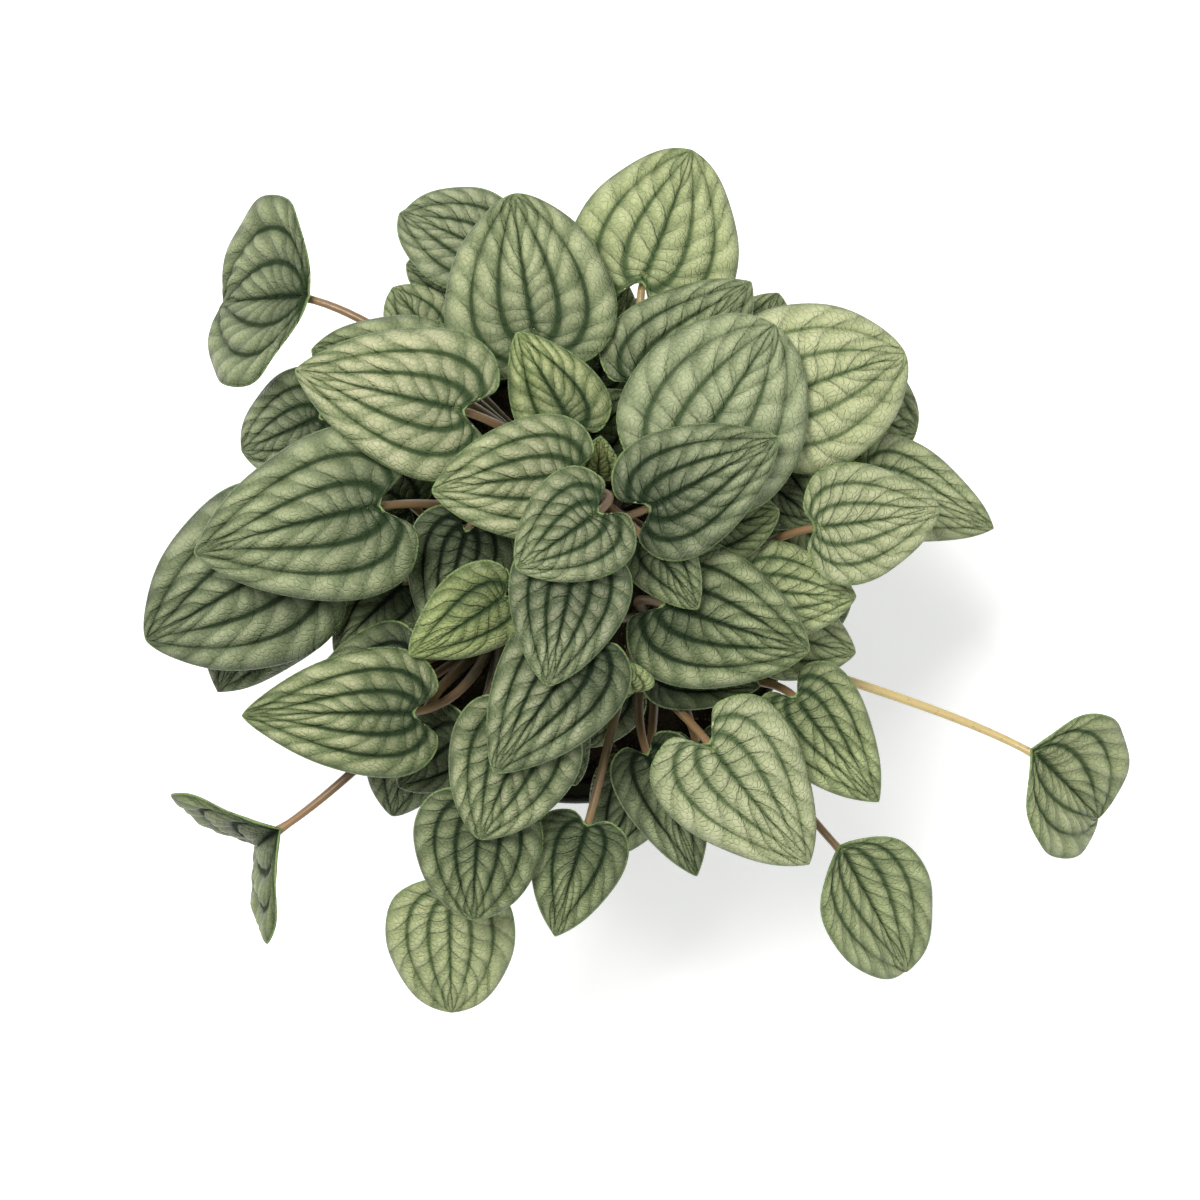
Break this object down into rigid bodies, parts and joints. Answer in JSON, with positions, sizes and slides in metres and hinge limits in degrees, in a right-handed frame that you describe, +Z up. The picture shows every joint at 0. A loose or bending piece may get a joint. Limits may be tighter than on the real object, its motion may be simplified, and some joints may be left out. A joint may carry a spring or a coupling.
{
  "type": "ripple peperomia in a nursery pot",
  "caption": "Ripple peperomia: a dome of quilted heart-shaped silver-green leaves on tan stalks, rooted in a plain round nursery pot.",
  "frame": {"origin": "middle of the pot's underside, on the surface it stands on", "axes": "+Z up; seen from above, +X to the right and +Y to the top of the view"},
  "size_m": [0.2639, 0.2295, 0.2189],
  "materials": {
    "leaf": "satin",
    "stalk": "satin",
    "spike": "satin",
    "soil": "matte",
    "pot": "matte"
  },
  "bodies": {
    "root": {"pot": "pot", "soil": "soil", "crown_n": "stalk", "crown_e": "stalk", "crown_w": "stalk", "flower_spike": "spike", "leaf_01": "leaf", "leaf_02": "leaf", "leaf_03": "leaf", "leaf_04": "leaf", "leaf_05": "leaf", "leaf_06": "leaf", "leaf_07": "leaf", "leaf_08": "leaf", "leaf_09": "leaf", "leaf_10": "leaf", "leaf_11": "leaf", "leaf_12": "leaf", "leaf_13": "leaf", "leaf_14": "leaf", "leaf_15": "leaf", "leaf_16": "leaf", "leaf_17": "leaf", "leaf_18": "leaf", "leaf_19": "leaf", "leaf_20": "leaf", "leaf_21": "leaf", "leaf_22": "leaf", "leaf_23": "leaf", "leaf_24": "leaf", "leaf_25": "leaf", "leaf_26": "leaf", "leaf_27": "leaf", "leaf_28": "leaf", "leaf_29": "leaf", "leaf_30": "leaf", "leaf_31": "leaf", "leaf_32": "leaf", "leaf_33": "leaf", "leaf_34": "leaf", "leaf_35": "leaf", "leaf_36": "leaf", "leaf_37": "leaf", "leaf_38": "leaf", "leaf_39": "leaf", "leaf_40": "leaf", "leaf_41": "leaf", "leaf_42": "leaf", "leaf_43": "leaf", "leaf_44": "leaf", "leaf_45": "leaf", "leaf_46": "leaf", "leaf_47": "leaf", "leaf_48": "leaf", "leaf_49": "leaf", "leaf_50": "leaf", "leaf_51": "leaf", "leaf_52": "leaf", "young_leaf_1": "leaf", "young_leaf_2": "leaf"}
  },
  "joints": []
}
